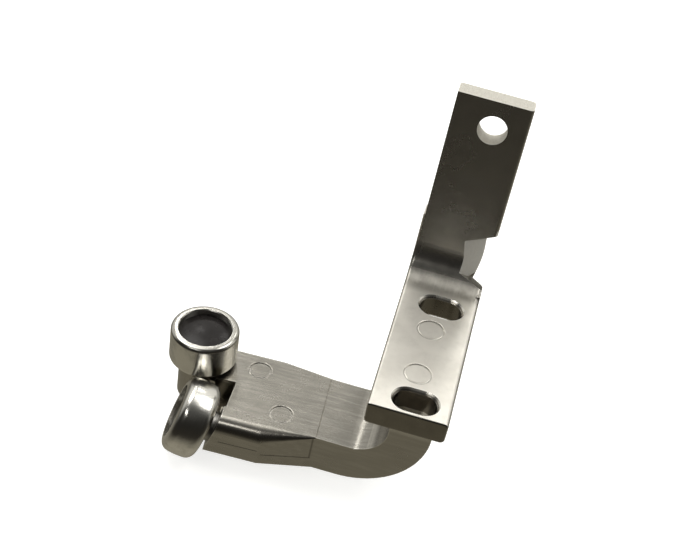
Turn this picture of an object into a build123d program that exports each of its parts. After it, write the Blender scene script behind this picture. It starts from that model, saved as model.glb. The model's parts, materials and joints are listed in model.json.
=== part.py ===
from build123d import *
import math
import os

os.makedirs("parts", exist_ok=True)

# Sliding-door roller bracket. Millimetres, +Z up.
# X runs along the roller arm, Y along the mounting plate towards the upright tab.
# Origin: midway between the two plate slots, on the plate's top face.

# ---- mounting plate and upright tab ----
plate_width = 24.0
plate_thickness = 7.7
plate_front = 27.6          # front end face to the origin
slot_spacing = 43.0
slot_length = 12.9
slot_width = 8.3
slot_shift = 1.1            # slots sit a little towards +X
slot_rim = 0.85             # rounding around each slot mouth
bend_line = 37.6            # where the plate's top plane meets the tab's front plane
bend_radius = 11.0          # concave side of the bend
tab_lean = 10.3             # degrees back from upright
tab_height = 60.6           # along the tab, from the bend line
tab_hole = 9.2
tab_hole_up = 51.3
tab_hole_shift = 1.4
tab_step = 0.5              # the lower tab is this much wider on its left edge
tab_step_up = 18.5
edge_right = 1.3
edge_left = 0.9
edge_under = 1.5
edge_end = 0.6              # around the plate's front end face
nub = (1.4, 2.8, 0.5)       # square remnant on the right edge by the bend: width, length, rise
nub_end = 4.6               # its far end to the bend line
plate_marks = ((-0.1, 10.0), (-0.4, -10.2))
plate_mark_r = 4.1

# ---- arm ----
arm_drop = 20.0             # plate top to arm top
arm_thickness = 12.5
arm_near = -27.1            # near and far sides of the neck
arm_far = -1.5
leg_inner = -4.0            # inner and outer faces of the upright leg
leg_outer = 8.5
leg_inner_radius = 10.0
leg_outer_radius = 24.5
crease_x = -24.0            # where the head begins
head_droop = 2.5            # degrees the head runs down towards the rollers
head_near = 4.0             # how far the head swells past the neck's near side
head_far = 2.2
head_swell = 16.0           # length over which it swells
head_round = 4.2            # rounded near top edge of the head
head_length = 36.0
arm_marks = ((-22.7, -5.3), (-12.0, -21.2))
arm_mark_r = 3.5
pocket_x = (-34.4, -28.2)   # notch beside the load roller, in the head's frame
pocket_y = (-23.8, -12.8)
pocket_shallow = 3.0        # over the axle
pocket_deep = 8.0
pocket_step = -21.3

# ---- guide roller, in the head's frame ----
guide_along = 40.75         # crease to the guide roller's axis
guide_y = -6.2
guide_boss = 7.1
guide_radius = 10.35
guide_height = 11.0
guide_gap = 1.6             # boss top to the tyre's lower face
guide_bore = 8.0
guide_lip = 0.7
guide_mid = 5.6             # boss top to the bearing's middle
guide_pin_r = 3.0
guide_edge = 1.3            # rounding of the tyre's top outer edge
cap_drop = 2.2              # tyre top down to the cap's rim
cap_rise = 1.2              # how far the cap's dome stands above its rim
cap_skin = 0.8

# ---- load roller ----
load_centre = (-61.6, -26.3, -27.0)
load_tilt = 16.2            # degrees the outer end of the axle points up
load_yaw = 4.5              # degrees it points towards the front
load_radius = 11.9
load_width = 10.2
load_crown = 0.6
load_shoulder = 2.8
load_bore = 8.2
load_axle_r = 2.75
load_end = 7.0              # arm end face to the tyre's middle
load_grip = 5.0             # axle length inside the arm, where it is welded
load_clearance = 1.0        # around the tyre

# ---- bearings, washers and rivets ----
race_width = 5.0
ball_r = 1.2
ball_count = 8
race_play = 0.04            # groove radius over ball radius
cage_play = 0.06
wall = 2.4                  # tyre bore to ball pitch circle
shield_gap = 0.15
shield_t = 0.3
washer_t = 0.6
washer_r = 4.4
rivet_t = 1.0
rivet_lap = 0.9
peen = 1.2

# ---- derived ----
T = plate_thickness
lean = math.radians(tab_lean)
droop = math.radians(head_droop)
half = plate_width / 2
tilt = math.radians(load_tilt)
yaw = math.radians(load_yaw)
load_axis = (
    -math.cos(tilt) * math.cos(yaw),
    -math.cos(tilt) * math.sin(yaw),
    math.sin(tilt),
)
guide_pitch = guide_bore - wall
load_pitch = load_bore - wall
land = 0.6 * ball_r         # race lands stand this far off the pitch circle
seat = land + 0.4           # shield seat
half_race = race_width / 2

# The tab's own frame: x across, y up the tab, z out of its front face.
TAB = Plane(
    origin=(0, bend_line, 0),
    x_dir=(1, 0, 0),
    z_dir=(0, -math.cos(lean), math.sin(lean)),
)
# The head's own frame: origin on the crease, z out of its top face.
HEAD = Plane(
    origin=(crease_x, 0, -arm_drop),
    x_dir=(math.cos(droop), 0, math.sin(droop)),
    z_dir=(-math.sin(droop), 0, math.cos(droop)),
)
GUIDE = Plane(
    origin=HEAD.from_local_coords(Vector(-guide_along, guide_y, 0)),
    x_dir=HEAD.x_dir,
    z_dir=HEAD.z_dir,
)
LOAD = Plane(origin=load_centre, x_dir=(0, 1, 0), z_dir=load_axis)


def ring(r_out, r_in, z0, z1):
    body = Pos(0, 0, z0) * extrude(Circle(r_out), z1 - z0)
    if r_in <= 0:
        return body
    return body - Pos(0, 0, z0 - 1) * extrude(Circle(r_in), z1 - z0 + 2)


def turned(points):
    """Revolve an (r, z) outline about Z."""
    outline = make_face(Polyline(*[(r, z) for r, z in points], close=True))
    return revolve(Plane.XZ * outline, Axis.Z, 360)


def circles(body, r, z):
    """Round edges of this radius at this height."""
    return [
        e for e in body.edges()
        if e.geom_type == GeomType.CIRCLE
        and abs(e.radius - r) < 0.01
        and abs(e.center().Z - z) < 0.01
    ]


def peen_shape(r):
    """Countersunk rivet end: widest at z 0, tapering up to the shank."""
    return turned([(0, 0), (r + peen, 0), (r, peen), (0, peen)])


# ---- bracket ----
def bent_strip():
    """Plate and tab as one strip of constant thickness, with a rounded bend."""
    sn, cs = math.sin(lean), math.cos(lean)
    top = (bend_line + tab_height * sn, tab_height * cs)
    back = (top[0] + T * cs, top[1] - T * sn)
    s = (-T + T * sn) / cs
    heel = (bend_line + T * cs + s * sn, -T)
    pts = [(-plate_front, 0), (bend_line, 0), top, back, heel, (-plate_front, -T)]
    sk = make_face(Polyline(*[(y, z, 0) for y, z in pts], close=True))
    sk = fillet(sk.vertices().sort_by_distance((bend_line, 0, 0))[0], bend_radius)
    sk = fillet(sk.vertices().sort_by_distance((heel[0], heel[1], 0))[0], bend_radius + T)
    return extrude(Plane.YZ * sk, half, both=True)


def along(body, x, z):
    """Straight edges whose middle sits at this x and z."""
    return [
        e for e in body.edges()
        if e.geom_type == GeomType.LINE
        and abs(e.center().X - x) < 0.01
        and abs(e.center().Z - z) < 0.01
    ]


def strip_edges(body):
    """Round the long edges of the plate and tab, and the plate's front end."""
    body = fillet(along(body, half, 0), edge_right)
    body = fillet(along(body, -half, 0), edge_left)
    body = fillet(along(body, half, -T), edge_under)
    body = fillet(along(body, -half, -T), edge_under)
    end = [e for e in body.edges() if abs(e.bounding_box().max.Y + plate_front) < 0.01]
    return fillet(end, edge_end)


def edge_nub():
    """Square remnant left on the plate's right edge where the bend starts."""
    wide, long, rise = nub
    block = Box(wide, long, edge_right + rise)
    return Pos(half - wide / 2, bend_line - nub_end - long / 2, (rise - edge_right) / 2) * block


def slot_cut(y):
    through = Pos(slot_shift, y, -T - 1) * extrude(SlotOverall(slot_length, slot_width), T + 2)
    wide = SlotOverall(slot_length + 2 * slot_rim, slot_width + 2 * slot_rim)
    mouth = Pos(slot_shift, y, 0) * extrude(wide, -slot_rim, taper=45)
    return through + mouth


def tab_hole_cut():
    return TAB * Pos(tab_hole_shift, tab_hole_up, 0) * Cylinder(tab_hole / 2, 4 * T)


def bend_relief():
    """Sloped scallop taken out of the right edge at the bend."""
    def quad(pts, out):
        outline = make_face(Polyline(*[(x, y) for x, y in pts], close=True))
        return TAB * Pos(0, 0, out) * outline
    front = quad([(-1.2, 12.9), (half + 2, 19.6), (half + 2, -0.6), (1.8, 4.4)], 4.6)
    rear = quad([(10.3, 13.8), (half + 2, 16.6), (half + 2, -5.2), (11.4, -3.6)], -T - 1.5)
    return loft([front, rear], ruled=True)


def neck():
    """Arm neck and upright leg, bent up under the plate."""
    q = math.sqrt(0.5)
    low = -arm_drop - arm_thickness
    ci = (leg_inner - leg_inner_radius, -arm_drop + leg_inner_radius)
    co = (leg_outer - leg_outer_radius, low + leg_outer_radius)
    inside = (ci[0] + leg_inner_radius * q, ci[1] - leg_inner_radius * q)
    outside = (co[0] + leg_outer_radius * q, co[1] - leg_outer_radius * q)
    outline = [
        Line((crease_x, -arm_drop), (ci[0], -arm_drop)),
        ThreePointArc((ci[0], -arm_drop), inside, (leg_inner, ci[1])),
        Line((leg_inner, ci[1]), (leg_inner, -T / 2)),
        Line((leg_inner, -T / 2), (leg_outer, -T / 2)),
        Line((leg_outer, -T / 2), (leg_outer, co[1])),
        ThreePointArc((leg_outer, co[1]), outside, (co[0], low)),
        Line((co[0], low), (crease_x, low)),
        Line((crease_x, low), (crease_x, -arm_drop)),
    ]
    body = extrude(Plane.XZ * make_face(outline), arm_near - arm_far)
    return Pos(0, arm_near, 0) * body


def head_section(x, near, far, round_r):
    """A cross-section of the head in its own frame, its near top edge rounded."""
    q = 1 - math.sqrt(0.5)
    t = arm_thickness
    bend = ThreePointArc(
        (near, -round_r), (near + round_r * q, -round_r * q), (near + round_r, 0)
    )
    lines = [
        Line((far, 0), (far, -t)),
        Line((far, -t), (near, -t)),
        Line((near, -t), (near, -round_r)),
        bend,
        Line((near + round_r, 0), (far, 0)),
    ]
    return Pos(x, 0, 0) * (Plane.YZ * make_face(lines))


def head():
    near, far = arm_near - head_near, arm_far + head_far
    start = head_section(0, arm_near, arm_far, 0.4)
    full = head_section(-head_swell, near, far, head_round)
    end = head_section(-head_length, near, far, head_round)
    body = loft([start, full], ruled=True) + loft([full, end], ruled=True)
    body += Pos(-guide_along, guide_y, 0) * ring(guide_boss, 0, -arm_thickness, 0)
    depth = far - guide_y + 6
    mid = -(head_length + guide_along) / 2
    web = Box(guide_along - head_length, depth, arm_thickness)
    body += Pos(mid, far - depth / 2, -arm_thickness / 2) * web
    return HEAD * body


def pocket():
    """Notch in the head's top beside the load roller, shallower over the axle."""
    def block(y0, y1, depth):
        x0, x1 = pocket_x
        box = Box(x1 - x0, y1 - y0, depth + 1)
        return Pos((x0 + x1) / 2, (y0 + y1) / 2, (1 - depth) / 2) * box
    shallow = block(pocket_y[0], pocket_step + 0.5, pocket_shallow)
    return HEAD * (shallow + block(pocket_step, pocket_y[1], pocket_deep))


def mark(r):
    """Shallow round mark left by an ejector pin."""
    return ring(r, 0, -0.08, 1) + ring(r, r - 0.4, -0.2, 1)


def bracket():
    step = TAB * Pos(-half - 2 + tab_step, tab_step_up + 30, -T / 2) * Box(4, 60, 3 * T)
    body = strip_edges(bent_strip()) - step + edge_nub() + neck() + head()
    for y in (-slot_spacing / 2, slot_spacing / 2):
        body -= slot_cut(y)
    body -= tab_hole_cut()
    body -= bend_relief()
    body -= LOAD * ring(load_radius + load_clearance, 0, -load_end, 60)
    body -= pocket()
    body -= GUIDE * ring(guide_pin_r, 0, -arm_thickness - 1, 1)
    body -= GUIDE * Pos(0, 0, -arm_thickness) * peen_shape(guide_pin_r)
    body -= LOAD * ring(load_axle_r, 0, -load_end - load_grip, 0)
    for x, y in plate_marks:
        body -= Pos(x, y, 0) * mark(plate_mark_r)
    for x, y in arm_marks:
        body -= HEAD * Pos(x, y, 0) * mark(arm_mark_r)
    return body


# ---- ball bearing, about Z, middle at z 0 ----
def groove(pitch):
    section = Pos(pitch, 0) * Circle(ball_r + race_play)
    return revolve(Plane.XZ * section, Axis.Z, 360)


def outer_race(r_out, pitch):
    body = ring(r_out, pitch + land, -half_race, half_race) - groove(pitch)
    for z0 in (-half_race, half_race - shield_t):
        body -= ring(pitch + seat, pitch, z0, z0 + shield_t)
    return body


def inner_race(r_in, pitch):
    return ring(pitch - land, r_in, -half_race, half_race) - groove(pitch)


def balls(pitch):
    one = Pos(pitch, 0, 0) * Sphere(ball_r)
    return Compound([Rot(0, 0, 360 * i / ball_count) * one for i in range(ball_count)])


def cage(pitch):
    deep = 0.42 * ball_r
    body = ring(pitch + deep, pitch - deep, -0.7 * ball_r, 0.7 * ball_r)
    one = Pos(pitch, 0, 0) * Sphere(ball_r + cage_play)
    for i in range(ball_count):
        body -= Rot(0, 0, 360 * i / ball_count) * one
    return body


def shield(pitch, side):
    z0 = half_race - shield_t if side > 0 else -half_race
    return ring(pitch + seat, pitch - land + shield_gap, z0, z0 + shield_t)


def washer(r_in, z0):
    return ring(washer_r, r_in, z0, z0 + washer_t)


def rivet_head(r, z0):
    body = ring(r + rivet_lap, 0, z0, z0 + rivet_t)
    return fillet(circles(body, r + rivet_lap, z0 + rivet_t), 0.6 * rivet_t)


# ---- guide roller, about Z, boss top at z 0 ----
def guide_tyre():
    top = guide_gap + guide_height
    lip = guide_mid - half_race
    body = ring(guide_radius, guide_bore - guide_lip, guide_gap, top)
    body -= ring(guide_bore, 0, lip, top + 1)
    rounding = min(guide_edge, 0.56 * (guide_radius - guide_bore))
    body = fillet(circles(body, guide_radius, top), rounding)
    body = fillet(circles(body, guide_radius, guide_gap), 0.6)
    return chamfer(circles(body, guide_bore, top), 0.3)


def guide_cap():
    """Domed dust cap pressed into the tyre over the pin's head."""
    foot = guide_mid + half_race
    rim = guide_gap + guide_height - cap_drop
    big = (guide_bore ** 2 + cap_rise ** 2) / (2 * cap_rise)
    centre = rim + cap_rise - big
    body = ring(guide_bore, 0, foot, rim + cap_rise + 1)
    body &= Pos(0, 0, centre) * Sphere(big)
    inside = ring(guide_bore - cap_skin, 0, foot - 1, rim + cap_rise)
    return body - (inside & Pos(0, 0, centre) * Sphere(big - cap_skin))


def guide_pin():
    stack = guide_mid + half_race + washer_t
    body = ring(guide_pin_r, 0, -arm_thickness, stack)
    body += Pos(0, 0, -arm_thickness) * peen_shape(guide_pin_r)
    return body + rivet_head(guide_pin_r, stack)


# ---- load roller, about Z, tyre's middle at z 0, +z outwards ----
def load_tyre():
    h = load_width / 2
    r = load_radius
    crown = ThreePointArc((r - load_crown, -h), (r, 0), (r - load_crown, h))
    outline = [
        Line((load_bore, -h), (r - load_crown, -h)),
        crown,
        Line((r - load_crown, h), (load_bore, h)),
        Line((load_bore, h), (load_bore, -h)),
    ]
    body = revolve(Plane.XZ * make_face(outline), Axis.Z, 360)
    shoulder = min(load_shoulder, 0.92 * (r - load_crown - load_bore))
    for z in (-h, h):
        body = fillet(circles(body, r - load_crown, z), shoulder)
    body += ring(load_bore + 0.3, load_bore - guide_lip, -h + 0.4, -half_race)
    return body


def load_axle():
    stack = half_race + washer_t
    body = ring(load_axle_r, 0, -load_end - load_grip, stack)
    return body + rivet_head(load_axle_r, stack)


def guide_at(z, body):
    return GUIDE * Pos(0, 0, z) * body


race_top = guide_mid + half_race
spacer_r = washer_r + 0.2
nodes = {
    "bracket": bracket(),
    "guide_pin": guide_at(0, guide_pin()),
    "guide_spacer": guide_at(0, ring(spacer_r, guide_pin_r, 0, guide_mid - half_race)),
    "guide_inner_race": guide_at(guide_mid, inner_race(guide_pin_r, guide_pitch)),
    "guide_washer": guide_at(0, washer(guide_pin_r, race_top)),
    "guide_balls": guide_at(guide_mid, balls(guide_pitch)),
    "guide_cage": guide_at(guide_mid, cage(guide_pitch)),
    "guide_outer_race": guide_at(guide_mid, outer_race(guide_bore, guide_pitch)),
    "guide_shield_lower": guide_at(guide_mid, shield(guide_pitch, -1)),
    "guide_shield_upper": guide_at(guide_mid, shield(guide_pitch, 1)),
    "guide_tyre": guide_at(0, guide_tyre()),
    "guide_cap": guide_at(0, guide_cap()),
    "load_axle": LOAD * load_axle(),
    "load_spacer": LOAD * ring(spacer_r, load_axle_r, -load_end, -half_race),
    "load_inner_race": LOAD * inner_race(load_axle_r, load_pitch),
    "load_washer": LOAD * washer(load_axle_r, half_race),
    "load_balls": LOAD * balls(load_pitch),
    "load_cage": LOAD * cage(load_pitch),
    "load_outer_race": LOAD * outer_race(load_bore, load_pitch),
    "load_shield_inner": LOAD * shield(load_pitch, -1),
    "load_shield_outer": LOAD * shield(load_pitch, 1),
    "load_retainer": LOAD * ring(load_bore, load_bore - guide_lip, half_race, half_race + 0.8),
    "load_tyre": LOAD * load_tyre(),
}
for name, shape in nodes.items():
    export_step(shape, "parts/" + name + ".step")
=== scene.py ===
import bpy
import json
import math
from mathutils import Matrix, Vector


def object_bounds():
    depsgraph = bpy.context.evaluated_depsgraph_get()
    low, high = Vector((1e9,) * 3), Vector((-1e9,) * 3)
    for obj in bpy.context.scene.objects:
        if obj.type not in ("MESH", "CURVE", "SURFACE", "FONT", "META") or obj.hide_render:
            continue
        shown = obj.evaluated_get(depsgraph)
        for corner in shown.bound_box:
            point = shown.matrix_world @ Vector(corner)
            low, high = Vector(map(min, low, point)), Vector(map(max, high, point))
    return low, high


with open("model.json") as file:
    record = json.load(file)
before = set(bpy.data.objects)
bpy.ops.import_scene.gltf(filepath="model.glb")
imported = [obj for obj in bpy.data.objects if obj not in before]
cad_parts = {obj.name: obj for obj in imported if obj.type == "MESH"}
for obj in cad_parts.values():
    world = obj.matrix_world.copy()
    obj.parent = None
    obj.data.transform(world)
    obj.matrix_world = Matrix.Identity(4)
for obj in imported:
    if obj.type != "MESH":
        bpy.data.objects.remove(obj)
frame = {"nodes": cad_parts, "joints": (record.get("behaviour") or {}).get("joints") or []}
cad_low, cad_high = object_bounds()
nodes = frame["nodes"]


# --- small helpers for node trees -------------------------------------------------------------

class Tree:
    """A material's or the world's nodes, with one short call for each kind used here."""

    def __init__(self, tree):
        self.tree = tree

    def add(self, kind, **settings):
        node = self.tree.nodes.new("ShaderNode" + kind)
        for key, value in settings.items():
            setattr(node, key, value)
        return node

    def put(self, socket, value):
        if isinstance(value, bpy.types.NodeSocket):
            self.tree.links.new(value, socket)
        elif isinstance(value, tuple) and hasattr(socket.default_value, "__len__"):
            missing = len(socket.default_value) - len(value)
            socket.default_value = value + (1.0,) * missing
        else:
            socket.default_value = value

    def calc(self, operation, a, b=0.0):
        node = self.add("Math", operation=operation)
        self.put(node.inputs[0], a)
        self.put(node.inputs[1], b)
        return node.outputs[0]

    def vector(self, operation, a, b=(0.0, 0.0, 0.0)):
        node = self.add("VectorMath", operation=operation)
        self.put(node.inputs[0], a)
        self.put(node.inputs[1], b)
        return node.outputs["Value"] if operation in ("DOT_PRODUCT", "LENGTH") else node.outputs[0]

    def scaled(self, vector, factors):
        return self.vector("MULTIPLY", vector, factors)

    def product(self, first, *others):
        """All the masks multiplied together."""
        for other in others:
            first = self.calc("MULTIPLY", first, other)
        return first

    def highest(self, first, *others):
        for other in others:
            first = self.calc("MAXIMUM", first, other)
        return first

    def joined(self, x, y, z):
        node = self.add("CombineXYZ")
        for socket, value in zip(node.inputs, (x, y, z)):
            self.put(socket, value)
        return node.outputs[0]

    def apart(self, vector):
        node = self.add("SeparateXYZ")
        self.put(node.inputs[0], vector)
        return node.outputs[0], node.outputs[1], node.outputs[2]

    def noise(self, vector, scale, detail=4.0, roughness=0.55):
        node = self.add("TexNoise")
        self.put(node.inputs["Vector"], vector)
        self.put(node.inputs["Scale"], scale)
        self.put(node.inputs["Detail"], detail)
        self.put(node.inputs["Roughness"], roughness)
        return node.outputs["Fac"]

    def span(self, value, low, high, to_low=0.0, to_high=1.0):
        node = self.add("MapRange", interpolation_type="SMOOTHSTEP")
        for socket, number in zip(node.inputs, (value, low, high, to_low, to_high)):
            self.put(socket, number)
        return node.outputs[0]

    def ramp(self, value, stops):
        node = self.add("ValToRGB")
        while len(node.color_ramp.elements) < len(stops):
            node.color_ramp.elements.new(0.5)
        for element, (at, colour) in zip(node.color_ramp.elements, stops):
            element.position = at
            element.color = colour + (1.0,)
        self.put(node.inputs[0], value)
        return node.outputs[0]

    def blend(self, factor, a, b):
        node = self.add("Mix", data_type="RGBA")
        self.put(node.inputs["Factor"], factor)
        self.put(node.inputs[6], a)
        self.put(node.inputs[7], b)
        return node.outputs[2]

    def bump(self, height, distance, under=None):
        node = self.add("Bump")
        self.put(node.inputs["Strength"], 1.0)
        self.put(node.inputs["Distance"], distance)
        self.put(node.inputs["Height"], height)
        if under is not None:
            self.put(node.inputs["Normal"], under)
        return node.outputs[0]

    def facing(self):
        """The surface's own direction in the object's frame, which turns with its body."""
        node = self.add(
            "VectorTransform", vector_type="NORMAL", convert_from="WORLD", convert_to="OBJECT"
        )
        self.put(node.inputs[0], self.add("NewGeometry").outputs["True Normal"])
        return node.outputs[0]

    def edges(self, radius):
        """1 on convex and concave edges, 0 on the open faces."""
        soft = self.add("Bevel", samples=4)
        self.put(soft.inputs["Radius"], radius)
        plain = self.add("NewGeometry")
        alike = self.vector("DOT_PRODUCT", soft.outputs[0], plain.outputs["Normal"])
        return self.span(alike, 0.998, 0.93)


def material(name):
    made = bpy.data.materials.new(name)
    made.use_nodes = True
    tree = Tree(made.node_tree)
    shader = made.node_tree.nodes["Principled BSDF"]
    place = tree.add("TexCoord").outputs["Object"]
    return made, tree, shader, place


def wear(node, made):
    mesh = nodes[node].data
    mesh.materials.clear()
    mesh.materials.append(made)


# --- camera ------------------------------------------------------------------------------------

camera = bpy.data.objects.new("camera", bpy.data.cameras.new("camera"))
bpy.context.scene.collection.objects.link(camera)
bpy.context.scene.camera = camera
camera.data.sensor_width = 36.0
camera.data.lens = 77.14
camera.data.clip_start = 0.01
camera.data.dof.use_dof = False
right = Vector((0.9613, 0.2156, 0.1715)).normalized()
back = Vector((0.0568, -0.7642, 0.6425)).normalized()
up = back.cross(right).normalized()
right = up.cross(back)
turn = Matrix((right, up, back)).transposed().to_4x4()
camera_place = (-0.00196, -0.33159, 0.29754)
camera.matrix_world = Matrix.Translation(camera_place) @ turn


# --- floor and light ---------------------------------------------------------------------------

def floor():
    """A pale floor that curves up into a wall all round, far outside the object."""
    # Radius and height, metres.
    profile = [
        (0.0, 0.0), (0.4, 0.0), (0.9, 0.0), (1.3, 0.02),
        (1.6, 0.1), (1.85, 0.3), (2.0, 0.7), (2.05, 1.3),
    ]
    around = 72
    gap = 0.0001
    level = cad_low.z - gap
    points, faces = [], []
    for radius, height in profile:
        for step in range(around):
            angle = 2 * math.pi * step / around
            points.append((radius * math.cos(angle), radius * math.sin(angle), level + height))
    for ring in range(len(profile) - 1):
        for step in range(around):
            a = ring * around + step
            b = ring * around + (step + 1) % around
            faces.append((a, b, b + around, a + around))
    mesh = bpy.data.meshes.new("floor")
    mesh.from_pydata(points, [], faces)
    for face in mesh.polygons:
        face.use_smooth = True
    sheet = bpy.data.objects.new("floor", mesh)
    bpy.context.scene.collection.objects.link(sheet)
    # Left out of reflections, so that the metal mirrors the darker table and room of sky().
    sheet.visible_glossy = False
    made, tree, shader, place = material("floor_paper")
    mottle = tree.noise(place, 9.0, 3.0)
    tone = tree.blend(mottle, (0.62, 0.62, 0.61), (0.66, 0.66, 0.65))
    tree.put(shader.inputs["Base Color"], tone)
    tree.put(shader.inputs["Emission Color"], (1.0, 1.0, 0.99))
    shader.inputs["Emission Strength"].default_value = 0.70
    shader.inputs["Roughness"].default_value = 0.9
    shader.inputs["Specular IOR Level"].default_value = 0.0
    mesh.materials.append(made)


def sky():
    """A bright wall behind the object, a dark room in front of it, and a grey table below."""
    world = bpy.data.worlds.new("studio")
    bpy.context.scene.world = world
    world.use_nodes = True
    tree = Tree(world.node_tree)
    shade = world.node_tree.nodes["Background"]
    way = tree.add("TexCoord").outputs["Generated"]
    side, depth, height = tree.apart(way)
    # 0 straight down, 0.5 at the horizon, 1 straight up.
    level = tree.calc("ADD", tree.calc("MULTIPLY", height, 0.5), 0.5)
    front = tree.ramp(level, (
        (0.0, (0.32, 0.298, 0.235)),
        (0.13, (0.28, 0.26, 0.205)),
        (0.24, (0.16, 0.149, 0.118)),
        (0.36, (0.026, 0.023, 0.018)),
        (0.66, (0.018, 0.017, 0.015)),
        (0.80, (0.025, 0.024, 0.022)),
        (0.92, (0.06, 0.059, 0.056)),
        (1.0, (0.12, 0.118, 0.112)),
    ))
    rear = tree.ramp(level, (
        (0.0, (0.27, 0.252, 0.20)),
        (0.17, (0.25, 0.234, 0.188)),
        (0.30, (0.16, 0.15, 0.125)),
        (0.48, (0.16, 0.155, 0.14)),
        (0.60, (0.75, 0.74, 0.70)),
        (0.72, (0.80, 0.785, 0.74)),
        (0.86, (0.88, 0.865, 0.82)),
        (1.0, (0.95, 0.94, 0.90)),
    ))
    colour = tree.blend(tree.span(depth, -0.30, 0.42), front, rear)
    tree.put(shade.inputs["Color"], colour)
    shade.inputs["Strength"].default_value = 1.0


def softbox(name, place, size, power):
    """An area light in warm white, aimed at the object."""
    aim = Vector((-0.02, 0.0, 0.0))
    light = bpy.data.lights.new(name, "AREA")
    light.shape = "RECTANGLE"
    light.size, light.size_y = size
    light.energy = power
    light.color = (1.0, 0.985, 0.95)
    lamp = bpy.data.objects.new(name, light)
    bpy.context.scene.collection.objects.link(lamp)
    lamp.location = place
    lamp.rotation_euler = (aim - Vector(place)).to_track_quat("-Z", "Y").to_euler()


floor()
sky()
softbox("softbox_left", (-0.42, 0.22, 0.75), (0.50, 0.40), 2.2)
softbox("softbox_right", (0.38, 0.22, 0.78), (0.50, 0.40), 2.2)
softbox("strip_front", (-0.30, -0.42, 0.60), (0.38, 0.11), 0.5)
softbox("window_left", (-0.36, 0.76, 0.70), (0.10, 0.10), 0.28)
softbox("window_right", (0.09, 0.78, 0.72), (0.10, 0.10), 0.26)
bpy.context.scene.view_settings.view_transform = "Standard"
bpy.context.scene.view_settings.look = "None"


# --- materials ---------------------------------------------------------------------------------

def inside(tree, value, low, high, soft=0.0004):
    """1 between low and high, falling off over a short way outside."""
    return tree.product(tree.span(value, low - soft, low), tree.span(value, high + soft, high))


def ring_mark(tree, place, centre, radius, spotty):
    """A thin, broken circle where an ejector pin met the top of the metal."""
    x, y, z = tree.apart(place)
    away = tree.vector("LENGTH", tree.vector("SUBTRACT", tree.joined(x, y, 0.0), centre))
    off = tree.calc("ABSOLUTE", tree.calc("SUBTRACT", away, radius))
    outer, inner = 0.00034, 0.0001
    return tree.product(tree.span(off, outer, inner), spotty)


def line_mark(tree, across, wide, *limits):
    """A thin dark line where across is 0, kept within the given masks."""
    line = tree.span(tree.calc("ABSOLUTE", across), wide, wide * 0.3)
    return tree.product(line, *limits)


class Bracket:
    """What the bracket's material knows of a point: its place, its direction and its noises."""

    def __init__(self, tree, place):
        self.tree = tree
        self.place = place
        self.x, self.y, self.z = tree.apart(place)
        self.facing = tree.apart(tree.facing())
        # The plate and tab are above this step, the arm is below it.
        self.plate = tree.span(self.z, -0.0095, -0.0075)
        self.arm = tree.calc("SUBTRACT", 1.0, self.plate)
        self.top = tree.span(self.facing[2], 0.8, 0.9)
        self.near = tree.span(self.facing[1], -0.6, -0.85)
        self.patch = tree.noise(place, 210.0, 4.0, 0.6)

    def box(self, x=None, y=None, z=None):
        """1 inside the given ranges, each from low to high in metres."""
        pairs = ((self.x, x), (self.y, y), (self.z, z))
        masks = [inside(self.tree, value, *limits) for value, limits in pairs if limits]
        return self.tree.product(*masks)


def raw_faces(tree, at):
    """Sawn and pierced faces: the tab's end, its hole, and the scallop at the bend."""
    tab_end = tree.product(tree.span(at.z, 0.056, 0.058), tree.span(at.facing[2], 0.85, 0.95))
    scallop = at.box(y=(0.028, 0.06), z=(0.0, 0.0185))
    scallop = tree.product(scallop, tree.span(at.facing[0], 0.55, 0.7))
    hole_centre = (0.0014, 0.0, 0.0505)
    flat = tree.joined(at.x, 0.0, at.z)
    away = tree.vector("LENGTH", tree.vector("SUBTRACT", flat, hole_centre))
    across = tree.span(tree.calc("ABSOLUTE", at.facing[1]), 0.8, 0.5)
    hole = tree.product(tree.span(away, 0.0062, 0.0056), across)
    return tree.highest(tab_end, scallop, hole), scallop


def shaded_faces(tree, at):
    """Painted shade on the sheared front end, the slots' walls and the notch beside the load
    roller.
    """
    end = tree.product(
        tree.span(at.y, -0.0268, -0.0274), at.plate, tree.span(at.facing[1], -0.6, -0.9)
    )
    slots = at.box(x=(-0.0064, 0.0082), y=(-0.0262, 0.0262), z=(-0.0072, -0.0006))
    notch = at.box(x=(-0.0590, -0.0515), y=(-0.0245, -0.0120))
    notch = tree.product(notch, tree.span(at.z, -0.0222, -0.0228))
    return tree.highest(end, slots, notch)


def forging_marks(tree, at):
    """Pin circles, the crease across the arm, and the parting lines on its near side."""
    spotty = tree.span(at.patch, 0.36, 0.52, 0.25, 1.0)
    circles = (
        ((-0.0001, 0.0100, 0.0), 0.0041, at.plate),
        ((-0.0004, -0.0102, 0.0), 0.0041, at.plate),
        ((-0.04668, -0.0053, 0.0), 0.0035, at.arm),
        ((-0.03599, -0.0212, 0.0), 0.0035, at.arm),
    )
    marks = [
        ring_mark(tree, at.place, centre, radius, tree.product(spotty, side))
        for centre, radius, side in circles
    ]
    slant = tree.calc("ADD", at.x, tree.calc("MULTIPLY", at.y, 0.048))
    crease = line_mark(
        tree, tree.calc("ADD", slant, 0.02525), 0.00022,
        at.top, at.arm, at.box(z=(-0.0215, -0.0185)),
    )
    marks.append(tree.product(crease, tree.span(at.patch, 0.3, 0.5, 0.4, 0.9)))
    marks.append(line_mark(
        tree, tree.calc("ADD", at.x, 0.0247), 0.0004,
        at.near, at.arm, at.box(z=(-0.0285, -0.0205)),
    ))
    # The seam and the nick run along the arm and drop a little with it.
    drop = tree.calc("ADD", at.z, tree.calc("MULTIPLY", at.x, -0.06))
    for height, reach in ((0.0271, (-0.0385, -0.0247)), (0.0257, (-0.0515, -0.0400))):
        marks.append(line_mark(
            tree, tree.calc("ADD", drop, height), 0.0002,
            at.near, at.arm, at.box(x=reach),
        ))
    return tree.highest(*marks)


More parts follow.
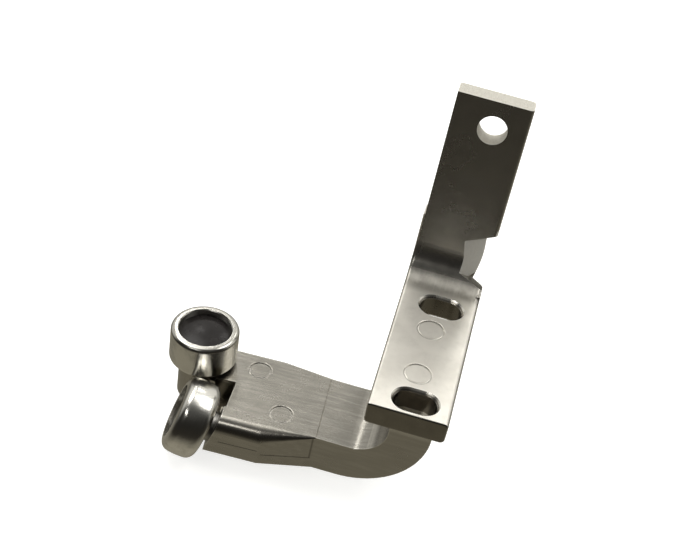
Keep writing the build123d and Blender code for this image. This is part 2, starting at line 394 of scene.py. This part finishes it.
def cast_metal():
    """The bracket: tumbled and polished steel, painted lighter on its plate than on its arm, with
    painted shade on the arm's top, the bend, the front end, the slots and the notch.
    """
    made, tree, shader, place = material("cast_metal")
    at = Bracket(tree, place)
    blotch = tree.noise(place, 70.0, 3.0)
    grain = tree.noise(place, 1600.0, 5.0, 0.6)
    pits = tree.noise(place, 3200.0, 2.0, 0.7)
    along_y = tree.noise(tree.scaled(place, (1.0, 0.05, 0.4)), 1500.0, 4.0)
    along_x = tree.noise(tree.scaled(place, (0.06, 1.0, 0.6)), 1300.0, 4.0)
    streak = tree.calc("ADD", tree.product(along_y, at.plate), tree.product(along_x, at.arm))
    worn = tree.edges(0.0006)
    raw, scallop = raw_faces(tree, at)
    # Painted shade mask for the front end, the slots' walls and the notch.
    dark = shaded_faces(tree, at)
    marks = forging_marks(tree, at)

    # This colour serves both the forging marks and the painted shade on the front end, slots and
    # notch.
    mark_and_shade = (0.16, 0.145, 0.12)
    # Painted light: the plate is painted lighter than the arm, standing in for its brighter
    # reflection.
    base = tree.blend(at.plate, (0.42, 0.40, 0.357), (0.86, 0.835, 0.775))
    # Painted shade: the arm's top faces are painted darker still.
    base = tree.blend(tree.product(at.top, at.arm, 0.9), base, (0.25, 0.24, 0.215))
    # Painted shade: the inside of the bend is painted darker where it would mirror the dark tab.
    bend = tree.product(
        tree.span(at.y, 0.0250, 0.0300),
        inside(tree, at.z, -0.0005, 0.0040, 0.0030),
        tree.span(at.facing[2], 0.0, 0.2),
        tree.span(at.patch, 0.2, 0.8, 0.9, 0.6),
    )
    base = tree.blend(bend, base, (0.22, 0.21, 0.185))
    base = tree.blend(tree.span(blotch, 0.35, 0.7, 0.0, 0.30), base, (0.36, 0.34, 0.30))
    base = tree.blend(tree.span(at.patch, 0.45, 0.75, 0.0, 0.20), base, (0.42, 0.40, 0.36))
    base = tree.blend(tree.span(streak, 0.4, 0.7, 0.0, 0.10), base, (0.84, 0.82, 0.76))
    specks = tree.span(pits, 0.46, 0.66, 0.0, 0.75)
    sawn = tree.blend(specks, (0.70, 0.68, 0.62), (0.38, 0.36, 0.31))
    sawn = tree.blend(tree.product(scallop, 0.6), sawn, (0.30, 0.288, 0.26))
    colour = tree.blend(raw, base, sawn)
    # Painted shade: the front end, the slots' walls and the notch are painted dark.
    colour = tree.blend(dark, colour, tree.blend(at.patch, mark_and_shade, (0.27, 0.25, 0.21)))
    colour = tree.blend(tree.product(marks, 0.62), colour, mark_and_shade)
    colour = tree.blend(tree.product(worn, 0.45), colour, (0.86, 0.845, 0.80))
    tree.put(shader.inputs["Base Color"], colour)
    tree.put(shader.inputs["Metallic"], tree.span(raw, 0.0, 1.0, 1.0, 0.55))

    rough = tree.span(blotch, 0.25, 0.8, 0.23, 0.29)
    rough = tree.calc("ADD", rough, tree.product(tree.calc("SUBTRACT", grain, 0.5), 0.03))
    rough = tree.calc("ADD", rough, tree.product(at.top, at.plate, 0.14))
    rough = tree.calc("ADD", rough, tree.product(raw, 0.32))
    tree.put(shader.inputs["Roughness"], tree.calc("SUBTRACT", rough, tree.product(worn, 0.05)))

    # From the broadest waves to the finest grain, depths in metres.
    normal = tree.bump(tree.noise(place, 160.0, 2.0), 0.00002)
    normal = tree.bump(streak, 0.000002, normal)
    normal = tree.bump(tree.product(pits, raw), 0.00004, normal)
    normal = tree.bump(tree.calc("SUBTRACT", 1.0, marks), 0.00006, normal)
    tree.put(shader.inputs["Normal"], tree.bump(grain, 0.0000015, normal))
    return made


def spin_axis(tree, place, joint):
    """Distance along and away from a joint's axis, for turned surfaces."""
    found = next(row for row in frame["joints"] if row["name"] == joint)
    centre = tuple(found["pos_m"])
    axis = tuple(Vector(found["axis"]).normalized())
    offset = tree.vector("SUBTRACT", place, centre)
    along = tree.vector("DOT_PRODUCT", offset, axis)
    away = tree.vector("LENGTH", tree.vector("CROSS_PRODUCT", offset, axis))
    return along, away


def turned_steel(name, joint, colour, rough, darker_from=None):
    """Ground steel with fine lines round the axis and a few dull patches.

    Past the distance given as the last argument, in metres along the axis, the face is darker than
    the rest.
    """
    made, tree, shader, place = material(name)
    along, away = spin_axis(tree, place, joint)
    lines = tree.noise(tree.joined(along, away, 0.0), 5200.0, 3.0, 0.7)
    blotch = tree.noise(place, 210.0, 3.0)
    grain = tree.noise(place, 2600.0, 4.0)
    worn = tree.edges(0.0004)
    dark = tuple(0.62 * value for value in colour)
    tone = tree.blend(tree.span(blotch, 0.45, 0.75, 0.0, 0.5), colour, dark)
    tone = tree.blend(tree.span(lines, 0.5, 0.8, 0.0, 0.3), tone, dark)
    if darker_from is not None:
        beyond = tree.span(along, darker_from, darker_from + 0.0003)
        face = tree.product(beyond, tree.span(blotch, 0.2, 0.7, 0.95, 0.6))
        tone = tree.blend(face, tone, (0.42, 0.41, 0.38))
    tone = tree.blend(tree.product(worn, 0.5), tone, (0.92, 0.91, 0.88))
    tree.put(shader.inputs["Base Color"], tone)
    shader.inputs["Metallic"].default_value = 1.0
    level = tree.span(blotch, 0.3, 0.75, rough, rough + 0.1)
    tree.put(shader.inputs["Roughness"], tree.calc("ADD", level, tree.product(lines, 0.06)))
    normal = tree.bump(tree.noise(place, 300.0, 2.0), 0.00003)
    normal = tree.bump(lines, 0.000006, normal)
    tree.put(shader.inputs["Normal"], tree.bump(grain, 0.000004, normal))
    return made


def cap_dark():
    """The bearing's domed dust cap: dark, smooth and slightly oily."""
    made, tree, shader, place = material("cap_dark")
    film = tree.noise(place, 260.0, 4.0)
    dust = tree.noise(place, 2400.0, 3.0)
    tone = tree.blend(film, (0.010, 0.009, 0.009), (0.026, 0.023, 0.022))
    tone = tree.blend(tree.span(dust, 0.66, 0.8, 0.0, 0.15), tone, (0.10, 0.09, 0.085))
    tree.put(shader.inputs["Base Color"], tone)
    tree.put(shader.inputs["Roughness"], tree.span(film, 0.3, 0.7, 0.20, 0.30))
    shader.inputs["Specular IOR Level"].default_value = 0.2
    tree.put(shader.inputs["Normal"], tree.bump(dust, 0.000008, tree.bump(film, 0.00004)))
    return made


polished = (0.80, 0.785, 0.74)
race = (0.66, 0.66, 0.65)
brass = (0.72, 0.55, 0.27)
guide_top = 0.0065          # from the guide bearing's middle to just under the tyre's top face

guide_steel = turned_steel("guide_steel", "guide_spin", (0.76, 0.745, 0.69), 0.12, guide_top)
guide_race = turned_steel("guide_race_steel", "guide_spin", race, 0.16)
load_steel = turned_steel("load_steel", "load_spin", polished, 0.14)
load_race = turned_steel("load_race_steel", "load_spin", race, 0.16)
guide_plain = turned_steel("guide_plain_steel", "guide_spin", (0.55, 0.54, 0.51), 0.3)
load_plain = turned_steel("load_plain_steel", "load_spin", (0.36, 0.35, 0.33), 0.3)

wear("bracket", cast_metal())
wear("guide_tyre", guide_steel)
wear("guide_cap", cap_dark())
wear("guide_cage", turned_steel("guide_brass", "guide_spin", brass, 0.3))
wear("load_tyre", load_steel)
wear("load_cage", turned_steel("load_brass", "load_spin", brass, 0.3))
for part in ("outer_race", "inner_race", "balls"):
    wear("guide_" + part, guide_race)
    wear("load_" + part, load_race)
for part in ("pin", "spacer", "washer", "shield_lower", "shield_upper"):
    wear("guide_" + part, guide_plain)
for part in ("axle", "spacer", "washer", "retainer", "shield_inner", "shield_outer"):
    wear("load_" + part, load_plain)
